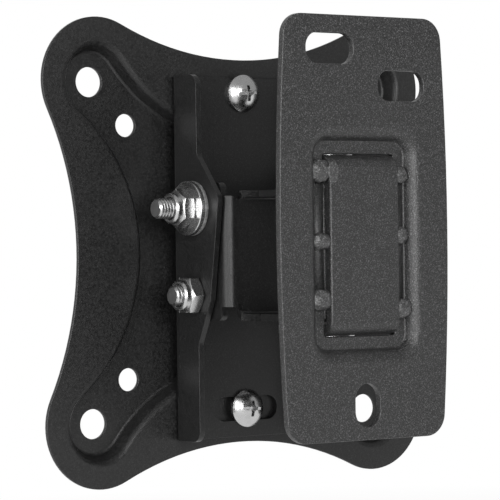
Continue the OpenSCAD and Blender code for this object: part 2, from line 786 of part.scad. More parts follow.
module screen_plate() {
    color([0.17, 0.17, 0.18]) translate([0, rim_y, screen_z]) facing() difference() {
        union() {
            linear_extrude(screen_t) difference() {
                lobed(lobe_r, side_rise);
                lobed(press_lobe_r + joint, press_rise);
            }
            screen_press();
            translate([0, 0, press_depth]) linear_extrude(screen_t)
                lobed(press_lobe_r - screen_run - joint, press_rise);
        }
        for (x = [-1, 1], y = [-1, 1]) {
            translate([x * outer_pitch / 2, y * outer_pitch / 2, 0]) cylinder(3 * press_depth, d = outer_hole_d);
            translate([x * inner_pitch / 2, y * inner_pitch / 2, 0]) cylinder(3 * press_depth, d = inner_hole_d);
        }
        for (y = [-1, 1])
            translate([0, y * screw_gap / 2, -over])
                cylinder(screen_t + 2 * over, d = screw_d + 2 * thread_gap);
    }
}

// Screen screws and the nuts behind the rim

screw_len = channel_t + screen_t + clinch_h;

// Pan-head screw: the underside of its head is at z = 0 and its shank runs to +Z
module pan_screw() {
    dome_r = (pan_d * pan_d / 4 + pow(pan_h * 0.75, 2)) / (2 * pan_h * 0.75);
    difference() {
        union() {
            cylinder(screw_len, d = screw_d);
            mirror([0, 0, 1]) intersection() {
                cylinder(pan_h, d = pan_d);
                translate([0, 0, pan_h - dome_r]) sphere(dome_r);
            }
        }
        translate([0, 0, -pan_h]) {
            for (a = [0, 90]) rotate(a) cube([cross_len, cross_w, 2 * cross_depth], center = true);
            cube([2 * pan_d, cross_w, 2 * cross_slot_depth], center = true);
        }
    }
}

module clinch_nut() washer(screw_d + 2 * thread_gap, clinch_d, clinch_h);

module top_screw() color("silver") translate([0, base_y, top_screw_z]) facing() pan_screw();
module bottom_screw() color("silver") translate([0, base_y, bottom_screw_z]) facing() pan_screw();
module top_clinch_nut() color("silver") translate([0, rim_y + screen_t, top_screw_z]) facing() clinch_nut();
module bottom_clinch_nut()
    color("silver") translate([0, rim_y + screen_t, bottom_screw_z]) facing() clinch_nut();

wall_plate();
wall_bracket();
weld_beads();
swivel_bolt();
swivel_head_washer();
swivel_spacer();
swivel_upper_pad();
swivel_lower_pad();
swivel_nut_washer();
swivel_nut();
swivel_nut_insert();
tilt_bracket();
pivot_bolt();
pivot_head_washer();
pivot_liners();
pivot_nut();
pivot_nut_insert();
lock_bolt();
lock_head_washer();
lock_nut_washer();
lock_pads();
lock_liners();
lock_nut();
lock_nut_insert();
channel_bracket();
screen_plate();
top_screw();
bottom_screw();
top_clinch_nut();
bottom_clinch_nut();
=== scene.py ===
# %% [markdown]
# # A small wall mount for a flat screen
#
# The mount is bent and pressed out of black powder-coated sheet steel, and bright zinc-plated
# bolts, nuts and washers hold it together. A slotted plate goes on the wall, a bracket swivels on
# it, a channel tilts on the bracket, and a plate with four round lobes takes the screen.
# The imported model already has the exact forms, so this lesson is about what makes them look
# real: rounded sheet edges, rough coating, shiny zinc, cut threads and lumpy welds.

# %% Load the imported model
import math

import bpy
from mathutils import Matrix, Vector, noise


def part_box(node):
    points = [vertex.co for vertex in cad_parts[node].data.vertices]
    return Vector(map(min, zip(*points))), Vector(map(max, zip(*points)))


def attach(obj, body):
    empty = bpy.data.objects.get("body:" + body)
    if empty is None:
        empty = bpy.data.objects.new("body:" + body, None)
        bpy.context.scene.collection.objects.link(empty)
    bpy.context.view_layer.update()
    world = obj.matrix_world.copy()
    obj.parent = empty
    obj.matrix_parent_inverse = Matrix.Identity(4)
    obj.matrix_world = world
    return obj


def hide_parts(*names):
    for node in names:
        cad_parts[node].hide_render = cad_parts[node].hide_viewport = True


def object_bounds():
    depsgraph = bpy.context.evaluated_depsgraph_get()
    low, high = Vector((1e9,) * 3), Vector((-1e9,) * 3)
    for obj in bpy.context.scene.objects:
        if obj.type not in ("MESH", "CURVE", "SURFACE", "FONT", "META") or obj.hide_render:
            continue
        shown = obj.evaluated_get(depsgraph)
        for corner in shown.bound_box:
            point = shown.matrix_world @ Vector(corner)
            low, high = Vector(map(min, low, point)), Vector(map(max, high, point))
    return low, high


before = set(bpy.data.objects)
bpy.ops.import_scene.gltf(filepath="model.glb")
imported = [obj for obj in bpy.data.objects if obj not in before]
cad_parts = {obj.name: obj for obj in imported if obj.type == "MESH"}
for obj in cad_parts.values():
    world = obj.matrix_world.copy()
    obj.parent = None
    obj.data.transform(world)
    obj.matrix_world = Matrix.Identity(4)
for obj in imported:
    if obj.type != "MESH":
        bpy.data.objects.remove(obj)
cad_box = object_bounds()
print("CAD box in mm:", [[round(v * 1000, 1) for v in corner] for corner in cad_box])

# %% [markdown]
# Blender works in metres and the mount is measured in millimetres. One named value turns one
# into the other. Most operators act on whatever is selected, so a helper makes sure that one
# piece, and nothing else, is selected before anything is done to it.

# %% Units and selection
MM = 0.001


def only(piece):
    """Selects one piece and nothing else, in object mode."""
    if bpy.context.object and bpy.context.object.mode != "OBJECT":
        bpy.ops.object.mode_set(mode="OBJECT")
    bpy.ops.object.select_all(action="DESELECT")
    piece.select_set(True)
    bpy.context.view_layer.objects.active = piece


def node_box(node):
    """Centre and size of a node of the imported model."""
    low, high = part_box(node)
    return (low + high) / 2, high - low


print("Screen plate in mm:", [round(v / MM, 1) for v in node_box("screen_plate")[1]])

# %% [markdown]
# ## The camera
#
# The photograph was taken from the wall side, a little to the left and level with the mount,
# with a long lens. The place is given from the middle of the screen plate's rim, the way a
# photographer would say it: how far round, how high, how far away and how much the camera leans.
# The angles are in degrees and the distances in millimetres.

# %% Camera
PHOTO_PIXELS = 500
SENSOR = 36.0
CAMERA = {
    "focal_pixels": 2657.1,
    "azimuth": -35.469,
    "elevation": 0.185,
    "roll": -0.75,
    "right": 2.8046,
    "up": 0.2788,
    "distance": 801.31,
}


def outward(azimuth, elevation):
    """The direction from the mount to something this far round and this high, in degrees."""
    a, e = math.radians(azimuth), math.radians(elevation)
    return Vector((math.sin(a) * math.cos(e), -math.cos(a) * math.cos(e), math.sin(e)))


rim_low, rim_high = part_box("screen_plate")
aim = Vector(((rim_low.x + rim_high.x) / 2, rim_low.y, (rim_low.z + rim_high.z) / 2))
towards_camera = outward(CAMERA["azimuth"], CAMERA["elevation"])
around, roll = math.radians(CAMERA["azimuth"]), math.radians(CAMERA["roll"])
level_right = Vector((math.cos(around), math.sin(around), 0))
level_up = towards_camera.cross(level_right)
camera_right = level_right * math.cos(roll) + level_up * math.sin(roll)
camera_up = -level_right * math.sin(roll) + level_up * math.cos(roll)

bpy.ops.object.select_all(action="DESELECT")
bpy.ops.object.camera_add()
camera = bpy.context.object
camera.name = "photo_camera"
camera.data.sensor_width = SENSOR
camera.data.lens = SENSOR * CAMERA["focal_pixels"] / PHOTO_PIXELS
camera.data.clip_start = 0.01
camera.data.clip_end = 20
turn = Matrix((camera_right, camera_up, towards_camera)).transposed()
place = aim + (
    towards_camera * CAMERA["distance"] + camera_right * CAMERA["right"] + camera_up * CAMERA["up"]
) * MM
camera.matrix_world = Matrix.Translation(place) @ turn.to_4x4()
bpy.context.scene.camera = camera
print("Lens in mm:", round(camera.data.lens, 1))

# %% [markdown]
# ## The world
#
# The photograph's background is white, but a white world would drown the black coating in light.
# So the world is white only for the rays that come straight from the camera, a middle grey for
# reflections and a darker grey for all other light. Lamps and white paper do the rest.

# %% World
WHITE = (1, 1, 1, 1)
ROOM_GREY = 0.30
REFLECTED_GREY = 0.40

scene = bpy.context.scene
scene.view_settings.view_transform = "Standard"


def add_math(tree, operation, *values):
    """A maths node on numbers, or on what other nodes put out."""
    step = tree.nodes.new("ShaderNodeMath")
    step.operation = operation
    for socket, value in zip(step.inputs, values):
        if isinstance(value, (int, float)):
            socket.default_value = value
        else:
            tree.links.new(value, socket)
    return step.outputs["Value"]


world = bpy.data.worlds.new("studio")
scene.world = world
world.use_nodes = True
tree = world.node_tree
rays = tree.nodes.new("ShaderNodeLightPath").outputs
room = tree.nodes.new("ShaderNodeMix")
room.data_type = "FLOAT"
room.inputs["A"].default_value = ROOM_GREY
room.inputs["B"].default_value = REFLECTED_GREY
tree.links.new(rays["Is Glossy Ray"], room.inputs["Factor"])
through = add_math(tree, "MAXIMUM", rays["Is Camera Ray"], rays["Is Transmission Ray"])
strength = add_math(tree, "MAXIMUM", through, room.outputs["Result"])
tree.links.new(strength, tree.nodes["Background"].inputs["Strength"])
tree.nodes["Background"].inputs["Color"].default_value = WHITE
print("World:", ROOM_GREY, "in the room,", REFLECTED_GREY, "in reflections")

# %% [markdown]
# ## Floor and backdrop
#
# A studio uses one white sweep of paper. Here it is two sheets, a floor and one that hangs behind,
# because the joint between them never shows when both glow white. They glow for the camera and in
# reflections, and are plain pale paper for all other light. The floor's glow fades a little close
# to the mount, so that it can still show the mount's shadow.

# %% Floor and backdrop
PAPER_COLOUR = (0.8, 0.8, 0.8, 1)
PAPER_SIZE = 5
FLOOR_GAP = 30 * MM
SHADOW_REACH = 0.35
SHADOW_SHARE = 0.12


def white_paper(name, shadow_share):
    """Paper that looks white to the camera and in reflections, less so near the mount."""
    paper = bpy.data.materials.new(name)
    paper.use_nodes = True
    tree = paper.node_tree
    matte = tree.nodes["Principled BSDF"]
    matte.inputs["Base Color"].default_value = PAPER_COLOUR
    matte.inputs["Roughness"].default_value = 0.9
    glow = tree.nodes.new("ShaderNodeEmission")
    glow.inputs["Strength"].default_value = 1.0
    place = tree.nodes.new("ShaderNodeTexCoord")
    spread = tree.nodes.new("ShaderNodeMapping")
    spread.inputs["Scale"].default_value = (1 / SHADOW_REACH,) * 3
    tree.links.new(place.outputs["Object"], spread.inputs["Vector"])
    near = tree.nodes.new("ShaderNodeTexGradient")
    near.gradient_type = "SPHERICAL"
    tree.links.new(spread.outputs["Vector"], near.inputs["Vector"])
    rays = tree.nodes.new("ShaderNodeLightPath").outputs
    seen = add_math(tree, "MAXIMUM", rays["Is Camera Ray"], rays["Is Glossy Ray"])
    seen = add_math(tree, "MAXIMUM", seen, rays["Is Transmission Ray"])
    fade = add_math(tree, "MULTIPLY_ADD", near.outputs["Fac"], -2 * shadow_share, 1.0)
    blend = tree.nodes.new("ShaderNodeMixShader")
    tree.links.new(add_math(tree, "MULTIPLY", seen, fade), blend.inputs["Fac"])
    tree.links.new(matte.outputs["BSDF"], blend.inputs[1])
    tree.links.new(glow.outputs["Emission"], blend.inputs[2])
    tree.links.new(blend.outputs["Shader"], tree.nodes["Material Output"].inputs["Surface"])
    return paper


def paper_sheet(name, paper, location, tilt):
    """A large sheet of paper, level or tilted up by an angle."""
    bpy.ops.object.select_all(action="DESELECT")
    bpy.ops.mesh.primitive_plane_add(size=PAPER_SIZE, location=location, rotation=(tilt, 0, 0))
    sheet = bpy.context.object
    sheet.name = name
    sheet.data.materials.append(paper)


floor_z = cad_box[0].z - FLOOR_GAP
half = PAPER_SIZE / 2
paper_sheet("studio_floor", white_paper("floor_paper", SHADOW_SHARE), (0, 0, floor_z), 0)
paper_sheet(
    "studio_backdrop", white_paper("backdrop_paper", 0), (0, half, floor_z + half), math.pi / 2
)
print("Floor in mm below the mount:", round(FLOOR_GAP / MM))

# %% [markdown]
# ## Lamps
#
# Black parts are shown by what they reflect, so the place of each lamp matters more here than on a
# pale object. Two tall soft lamps on the left draw the bright lines along every edge and slope that
# faces them. They stand well to either side of the camera, because a lamp close beside it would
# shine straight back out of the corner between each nut and its washer. A third stands far round
# to the left for the outer edges, and a weak one in front, low down, makes the flat faces a little
# paler towards the bottom. Nothing bright hangs above, because the photograph's upward faces are
# its darkest.

# %% Lamps
# Name, degrees round, degrees up, metres away, width and height in metres, watts.
LAMPS = [
    ("slope_lamp", -20, -8, 1.0, (0.4, 1.3), 14),
    ("left_lamp", -52, -4, 1.0, (0.25, 1.4), 6),
    ("edge_lamp", -85, -5, 0.9, (0.5, 0.8), 4.5),
    ("front_lamp", 2, -30, 1.2, (0.6, 0.8), 3),
]
middle = (cad_box[0] + cad_box[1]) / 2


def soft_lamp(name, azimuth, elevation, distance, size, watts):
    """A soft lamp that looks at the middle of the mount."""
    back = outward(azimuth, elevation)
    bpy.ops.object.light_add(type="AREA", location=middle + back * distance)
    lamp = bpy.context.object
    lamp.name = name
    lamp.data.shape = "RECTANGLE"
    lamp.data.size, lamp.data.size_y = size
    lamp.data.energy = watts
    lamp.rotation_mode = "QUATERNION"
    lamp.rotation_quaternion = back.to_track_quat("Z", "Y")


for row in LAMPS:
    soft_lamp(*row)
print("Lamps:", len(LAMPS))

# %% [markdown]
# ## Finishes
#
# Powder coat is a plastic skin that was melted on, and zinc plating is bright metal that was
# tumbled in a barrel. Neither is one even colour. Each could be mixed anew in every material, but
# many pieces share them, so each is built once as a node group with named inputs. The helpers here
# make such a group and the steps that both groups use.

# %% Helpers for node groups
SLANT = (0.6, 0.4, 0.5)


def new_group(name, inputs):
    """A node group with named inputs that puts out a colour, a roughness and a normal."""
    group = bpy.data.node_groups.new(name, "ShaderNodeTree")
    for label, kind, value in inputs:
        socket = group.interface.new_socket(label, in_out="INPUT", socket_type=kind)
        socket.default_value = value
    for label, kind in (("Colour", "Color"), ("Roughness", "Float"), ("Normal", "Vector")):
        group.interface.new_socket(label, in_out="OUTPUT", socket_type="NodeSocket" + kind)
    given = group.nodes.new("NodeGroupInput").outputs
    return group, given, group.nodes.new("NodeGroupOutput").inputs


def slanted(group):
    """The piece's own coordinates, slanted so that no flat face lies along a noise's grid."""
    place = group.nodes.new("ShaderNodeTexCoord")
    slant = group.nodes.new("ShaderNodeMapping")
    slant.inputs["Rotation"].default_value = SLANT
    group.links.new(place.outputs["Object"], slant.inputs["Vector"])
    return slant.outputs["Vector"]


def add_noise(group, grains, detail, coordinates):
    """A noise with a number of grains to the metre."""
    texture = group.nodes.new("ShaderNodeTexNoise")
    texture.inputs["Scale"].default_value = grains
    texture.inputs["Detail"].default_value = detail
    group.links.new(coordinates, texture.inputs["Vector"])
    return texture.outputs["Fac"]


def add_range(group, value, given, wanted):
    """Maps a value from one range to another, whose low end may be another node's output."""
    mapped = group.nodes.new("ShaderNodeMapRange")
    mapped.inputs["From Min"].default_value, mapped.inputs["From Max"].default_value = given
    low, high = wanted
    if isinstance(low, (int, float)):
        mapped.inputs["To Min"].default_value = low
    else:
        group.links.new(low, mapped.inputs["To Min"])
    mapped.inputs["To Max"].default_value = high
    group.links.new(value, mapped.inputs["Value"])
    return mapped.outputs["Result"]


def add_tint(group, colour, tone):
    """A colour multiplied by a tone."""
    tint = group.nodes.new("ShaderNodeMix")
    tint.data_type = "RGBA"
    tint.blend_type = "MULTIPLY"
    tint.inputs["Factor"].default_value = 1.0
    group.links.new(colour, tint.inputs["A"])
    group.links.new(tone, tint.inputs["B"])
    return tint.outputs["Result"]


def add_relief(group, height, distance, strength):
    """A normal that makes a height look raised by up to a distance."""
    bump = group.nodes.new("ShaderNodeBump")
    bump.inputs["Distance"].default_value = distance
    group.links.new(strength, bump.inputs["Strength"])
    group.links.new(height, bump.inputs["Height"])
    return bump.outputs["Normal"]


print("Grain is slanted by degrees:", [round(math.degrees(angle)) for angle in SLANT])

# %% [markdown]
# Close up, powder coat has an orange-peel skin and a finer grain on it; tiny glints where that
# grain stands highest are painted highlights, pale points in the colour. One noise makes the peel,
# a second one the grain and the painted glints, and a third, broad one keeps large faces from
# looking even.

# %% Node group for the coating's grain
FINE_GRAINS = 2900
PEEL_GRAINS = 1300
BROAD_GRAINS = 35
# The colour of the painted glints on the coating's grain.
GLINT_COLOUR = (0.55, 0.55, 0.56, 1)
PEEL_SHARE = 0.7
COAT_RELIEF = 0.1 * MM


def coat_grain_group():
    """Orange peel, grain and painted glints on a colour."""
    group, given, made = new_group("coat_grain", [
        ("Colour", "NodeSocketColor", (0.05, 0.05, 0.05, 1)),
        ("Speckle", "NodeSocketFloat", 0.5),
        ("Roughness", "NodeSocketFloat", 0.45),
        ("Grain", "NodeSocketFloat", 0.3),
    ])
    place = slanted(group)
    fine = add_noise(group, FINE_GRAINS, 1, place)
    peel = add_noise(group, PEEL_GRAINS, 2, place)
    broad = add_noise(group, BROAD_GRAINS, 2, place)

    cloudy = add_range(group, peel, (0.35, 0.65), (0.6, 1.4))
    shade = add_range(group, broad, (0.3, 0.7), (0.95, 1.05))
    tone = add_math(group, "MULTIPLY", cloudy, shade)
    # Pale points where the fine noise is highest: painted glints.
    points = add_range(group, fine, (0.52, 0.80), (0.0, 1.0))
    dotted = group.nodes.new("ShaderNodeMix")
    dotted.data_type = "RGBA"
    dotted.inputs["B"].default_value = GLINT_COLOUR
    speckle = add_math(group, "MULTIPLY", points, given["Speckle"])
    group.links.new(speckle, dotted.inputs["Factor"])
    group.links.new(add_tint(group, given["Colour"], tone), dotted.inputs["A"])
    group.links.new(dotted.outputs["Result"], made["Colour"])

    gloss = add_range(group, peel, (0.3, 0.7), (0.85, 1.15))
    group.links.new(add_math(group, "MULTIPLY", given["Roughness"], gloss), made["Roughness"])
    height = add_math(group, "MULTIPLY_ADD", peel, PEEL_SHARE, fine)
    relief = add_relief(group, height, COAT_RELIEF, given["Grain"])
    group.links.new(relief, made["Normal"])
    return group


COAT_GRAIN = coat_grain_group()
print("Coating's noises, to the metre:", FINE_GRAINS, PEEL_GRAINS, BROAD_GRAINS)

# %% [markdown]
# Zinc plating is bright, but not a mirror: the barrel that tumbles the bolts leaves fine scuffs,
# and the plating is a little cloudy from place to place. One noise makes each.

# %% Node group for the plating
CLOUD_GRAINS = 420
SCUFF_GRAINS = 1800
ZINC_RELIEF = 0.05 * MM


def plating_group():
    """Clouds and scuffs on a metal."""
    group, given, made = new_group("zinc_plating", [
        ("Colour", "NodeSocketColor", (0.7, 0.7, 0.7, 1)),
        ("Clouding", "NodeSocketFloat", 0.3),
        ("Roughness", "NodeSocketFloat", 0.25),
        ("Scuffs", "NodeSocketFloat", 0.2),
    ])
    place = slanted(group)
    cloud = add_noise(group, CLOUD_GRAINS, 3, place)
    scuff = add_noise(group, SCUFF_GRAINS, 3, place)

    darkest = add_math(group, "SUBTRACT", 1.0, given["Clouding"])
    tone = add_range(group, cloud, (0.3, 0.7), (darkest, 1.0))
    group.links.new(add_tint(group, given["Colour"], tone), made["Colour"])
    gloss = add_range(group, scuff, (0.3, 0.7), (0.93, 1.08))
    group.links.new(add_math(group, "MULTIPLY", given["Roughness"], gloss), made["Roughness"])
    relief = add_relief(group, scuff, ZINC_RELIEF, given["Scuffs"])
    group.links.new(relief, made["Normal"])
    return group


ZINC_PLATING = plating_group()
print("Plating's noises, to the metre:", CLOUD_GRAINS, SCUFF_GRAINS)

# %% [markdown]
# A finish is then a short material: the group, the shader and the few plain numbers that are the
# same all over, such as how metallic it is. The black pieces share one coat. The wall plate and its
# bracket are the grainiest; the other brackets and the screen plate are smoother, and their darker
# grey is painted shade for the shade they lie in behind the wall plate. The welds are rougher, and
# their paler grey is a painted highlight for the light their lumps catch from the left.

# %% Materials
def finish(name, group, values, metallic=0.0, specular=0.5):
    """A material whose colour, roughness and normal come from a node group."""
    material = bpy.data.materials.new(name)
    material.use_nodes = True
    nodes, links = material.node_tree.nodes, material.node_tree.links
    shader = nodes["Principled BSDF"]
    shader.inputs["Metallic"].default_value = metallic
    shader.inputs["Specular IOR Level"].default_value = specular
    texture = nodes.new("ShaderNodeGroup")
    texture.node_tree = group
    for label, value in values.items():
        texture.inputs[label].default_value = value
    links.new(texture.outputs["Colour"], shader.inputs["Base Color"])
    links.new(texture.outputs["Roughness"], shader.inputs["Roughness"])
    links.new(texture.outputs["Normal"], shader.inputs["Normal"])
    material.diffuse_color = values["Colour"]
    return material


def grey(level, warmth=0.0):
    """A grey, slightly warmer or cooler."""
    return (level * (1 + warmth), level, level * (1 - warmth), 1)


def coat(name, colour, speckle, roughness, grain, specular=0.5):
    """A powder coat, or a moulded plastic with next to no grain."""
    values = {"Colour": colour, "Speckle": speckle, "Roughness": roughness, "Grain": grain}
    return finish(name, COAT_GRAIN, values, specular=specular)


def plating(name, colour, clouding, roughness, scuffs):
    """A zinc-plated or bare metal."""
    values = {"Colour": colour, "Clouding": clouding, "Roughness": roughness, "Scuffs": scuffs}
    return finish(name, ZINC_PLATING, values, metallic=1.0)


# Colour, speckle of painted glints, roughness, grain and gloss.
PLATE_COAT = coat("plate_coat", grey(0.014), 0.23, 0.42, 0.8, specular=0.6)
# The darker grey here and on the screen plate is painted shade.
BRACKET_COAT = coat("bracket_coat", grey(0.007), 0.04, 0.40, 0.25)
SCREEN_COAT = coat("screen_coat", grey(0.0095), 0.04, 0.42, 0.25)
# The paler grey of the welds is a painted highlight.
WELD_COAT = coat("weld_coat", grey(0.04), 0.35, 0.4, 0.8, specular=0.6)
# The coat of the thin layer on the ledge between the beads: painted shade.
PAINTED_SHADE_COAT = coat("painted_shade_coat", grey(0.03), 0.15, 0.42, 0.5)
GREY_NYLON = coat("grey_nylon", grey(0.16), 0.0, 0.5, 0.1)
CLEAR_NYLON = coat("clear_nylon", grey(0.6, 0.02), 0.0, 0.45, 0.08)
INSERT_NYLON = coat("insert_nylon", grey(0.05), 0.0, 0.5, 0.1)
# Colour, clouding, roughness and scuffs.
ZINC = plating("zinc", grey(0.62), 0.1, 0.26, 0.01)
DULL_ZINC = plating("dull_zinc", grey(0.55), 0.35, 0.34, 0.08)
CUT_END = plating("cut_end", grey(0.25), 0.2, 0.5, 0.1)


def dress(piece, material, body, node):
    """Gives a finished piece its material, its body and the node it replaces."""
    piece.data.materials.clear()
    piece.data.materials.append(material)
    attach(piece, body)
    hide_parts(node)


print("Black coats:", [material.name for material in (PLATE_COAT, BRACKET_COAT, SCREEN_COAT)])

# %% [markdown]
# ## Sheet steel and plain rings
#
# A sheared or punched edge is never sharp, and the coating rounds it a little more. That small
# round is what catches the light along the left of every plate. The sheets could be modelled anew,
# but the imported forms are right, so each is copied, its loose triangles are joined, and a bevel
# rounds the edges. A wide angle limit keeps the bevel off the smooth bends.

# %% Copy a node and round its edges
SHARP = math.radians(32)
FLAT = math.radians(0.6)


def round_edges(piece, edge, segments, sharpest):
    """Rounds the edges of a piece that are sharper than an angle."""
    bevel = piece.modifiers.new("edges", "BEVEL")
    bevel.width = edge * MM
    bevel.segments = segments
    bevel.limit_method = "ANGLE"
    bevel.angle_limit = sharpest
    bpy.ops.object.modifier_apply(modifier="edges")


def flatten_shading(piece):
    """Smooth shading that leaves the large flat faces truly flat."""
    only(piece)
    bpy.ops.object.shade_smooth_by_angle(angle=SHARP)
    weight = piece.modifiers.new("face_weight", "WEIGHTED_NORMAL")
    weight.keep_sharp = True
    bpy.ops.object.modifier_apply(modifier="face_weight")


def rounded_copy(node, edge):
    """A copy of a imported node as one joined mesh, with its edges rounded."""
    piece = bpy.data.objects.new(node + "_piece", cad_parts[node].data.copy())
    scene.collection.objects.link(piece)
    only(piece)
    bpy.ops.object.mode_set(mode="EDIT")
    bpy.ops.mesh.select_all(action="SELECT")
    bpy.ops.mesh.remove_doubles(threshold=0.002 * MM)
    bpy.ops.mesh.dissolve_limited(angle_limit=FLAT)
    bpy.ops.object.mode_set(mode="OBJECT")
    round_edges(piece, edge, 3, SHARP)
    flatten_shading(piece)
    return piece


print("Edges are rounded above degrees:", round(math.degrees(SHARP)))

# %% [markdown]
# The wall plate's edges rolled over most when it was punched, so they are the roundest. The
# washers, spacers and rings are made the same way, because they too are plain forms whose edges
# catch the light.

# %% Dress the sheets and the rings
# Node, rounding in millimetres, finish, slot name and body.
SHEETS = [
    ("wall_plate", 1.0, PLATE_COAT, "black_coat", "wall"),
    ("wall_bracket", 0.6, PLATE_COAT, "black_coat", "wall"),
    ("tilt_bracket", 0.3, BRACKET_COAT, "black_coat", "swivel"),
    ("channel_bracket", 0.32, BRACKET_COAT, "black_coat", "channel"),
    ("screen_plate", 0.25, SCREEN_COAT, "black_coat", "screen"),
]
RINGS = [
    ("swivel_head_washer", 0.2, ZINC, "zinc", "wall"),
    ("swivel_spacer", 0.3, ZINC, "zinc", "wall"),
    ("swivel_upper_pad", 0.15, CLEAR_NYLON, "clear_nylon", "wall"),
    ("swivel_lower_pad", 0.15, CLEAR_NYLON, "clear_nylon", "wall"),
    ("swivel_nut_washer", 0.2, ZINC, "zinc", "wall"),
    ("pivot_head_washer", 0.15, ZINC, "zinc", "swivel"),
    ("pivot_liners", 0.1, CLEAR_NYLON, "clear_nylon", "swivel"),
    ("lock_liners", 0.1, CLEAR_NYLON, "clear_nylon", "swivel"),
    ("lock_pads", 0.2, GREY_NYLON, "grey_nylon", "swivel"),
    ("lock_head_washer", 0.3, ZINC, "zinc", "swivel"),
    ("lock_nut_washer", 0.3, ZINC, "zinc", "swivel"),
    ("top_clinch_nut", 0.3, DULL_ZINC, "zinc", "screen"),
    ("bottom_clinch_nut", 0.3, DULL_ZINC, "zinc", "screen"),
    ("swivel_nut_insert", 0.1, INSERT_NYLON, "nut_insert", "wall"),
    ("pivot_nut_insert", 0.1, INSERT_NYLON, "nut_insert", "swivel"),
    ("lock_nut_insert", 0.1, INSERT_NYLON, "nut_insert", "swivel"),
]
for node, edge, material, slot, body in SHEETS + RINGS:
    dress(rounded_copy(node, edge), material, body, node)
print("Rounded copies:", len(SHEETS) + len(RINGS))

# %% [markdown]
# ## Turned shapes
#
# A bolt's end, a nut's collar and a screw's dome are all turned shapes. They could be cylinders
# that are scaled ring by ring, but a lathe's way is shorter: the outline is drawn as a chain of
# extruded points, and a spin about the axis makes the solid. Every fastener here is drawn standing
# on the Z axis first, and is put in place at the end.

# %% Spin an outline into a solid
def close_up(piece, gap=None):
    """Joins points that are closer than a gap in millimetres, and turns all faces outwards."""
    only(piece)
    bpy.ops.object.mode_set(mode="EDIT")
    bpy.ops.mesh.select_all(action="SELECT")
    if gap:
        bpy.ops.mesh.remove_doubles(threshold=gap * MM)
    bpy.ops.mesh.normals_make_consistent(inside=False)
    bpy.ops.object.mode_set(mode="OBJECT")


def turned(name, outline, steps=64):
    """Spins an outline of (radius, height) points, in millimetres, about the Z axis."""
    bpy.ops.object.select_all(action="DESELECT")
    bpy.ops.mesh.primitive_plane_add(size=1 * MM)
    piece = bpy.context.object
    piece.name = name
    bpy.ops.object.mode_set(mode="EDIT")
    bpy.ops.mesh.select_all(action="SELECT")
    bpy.ops.mesh.merge(type="CENTER")
    bpy.ops.transform.translate(value=(outline[0][0] * MM, 0, outline[0][1] * MM))
    for (r1, z1), (r2, z2) in zip(outline, outline[1:]):
        step = ((r2 - r1) * MM, 0, (z2 - z1) * MM)
        bpy.ops.mesh.extrude_region_move(TRANSFORM_OT_translate={"value": step})
    if max(outline[0][0], outline[-1][0]) > 0:
        # A ring's outline doesn't end on the axis, so its two ends are joined.
        bpy.ops.object.mode_set(mode="OBJECT")
        for vertex in piece.data.vertices:
            vertex.select = vertex.index in (0, len(piece.data.vertices) - 1)
        bpy.ops.object.mode_set(mode="EDIT")
        bpy.ops.mesh.select_mode(type="VERT")
        bpy.ops.mesh.edge_face_add()
    bpy.ops.mesh.select_all(action="SELECT")
    bpy.ops.mesh.spin(steps=steps, angle=2 * math.pi, center=(0, 0, 0), axis=(0, 0, 1))
    close_up(piece, 0.001)
    return piece


def arc_points(centre, radius, start, end, steps):
    """Points of an arc in an outline, with angles in degrees."""
    points = []
    for k in range(steps + 1):
        angle = math.radians(start + (end - start) * k / steps)
        points.append((centre[0] + radius * math.cos(angle), centre[1] + radius * math.sin(angle)))
    return points


# %% [markdown]
# Turned shapes are then cut with each other, joined, and moved to their places. A Boolean leaves
# one closed skin where two shapes have to be one. Where they only touch, as a thread on its core,
# joining them as separate shells is enough and keeps the mesh clean.

# %% Cut, join and place
def boolean(piece, tool, operation):
    """Cuts, joins or intersects a piece with a tool, which is then deleted."""
    only(piece)
    step = piece.modifiers.new("cut", "BOOLEAN")
    step.operation = operation
    step.solver = "EXACT"
    step.object = tool
    bpy.ops.object.modifier_apply(modifier="cut")
    bpy.data.objects.remove(tool)


def join(name, *parts):
    """Joins parts into one piece, each with its own shell."""
    only(parts[0])
    for part in parts[1:]:
        part.select_set(True)
    bpy.ops.object.join()
    piece = bpy.context.object
    piece.name = name
    piece.data.name = name
    return piece


def stand(piece, point, direction, spin=0.0):
    """Moves a piece from the Z axis to a point, with its +Z along a direction."""
    quarter = Vector(direction).to_track_quat("Z", "Y").to_matrix().to_4x4()
    piece.data.transform(
        Matrix.Translation(point) @ quarter @ Matrix.Rotation(math.radians(spin), 4, "Z")
    )
    piece.data.update()
    return piece


def along(size, direction):
    """A node's length along a direction."""
    return size.dot(Vector(map(abs, direction)))


print("Length of the lock bolt in mm:", round(along(node_box("lock_bolt")[1], (1, 0, 0)) / MM, 1))

# %% [markdown]
# ## Threads
#
# A thread is one ridge that climbs round the bolt. A bump in the material would leave the bolt's
# outline smooth, so it is real: a small section with a flat crest is drawn beside the axis, and the
# Screw modifier carries it round and up at once. It is sunk a little into a plain core, and the
# points that would stand out of the bolt's chamfered end are drawn in to the chamfer.

# %% Cut a thread
DEPTH_PER_PITCH = 0.61
SUNK = 0.1
THREAD_STEPS = 36


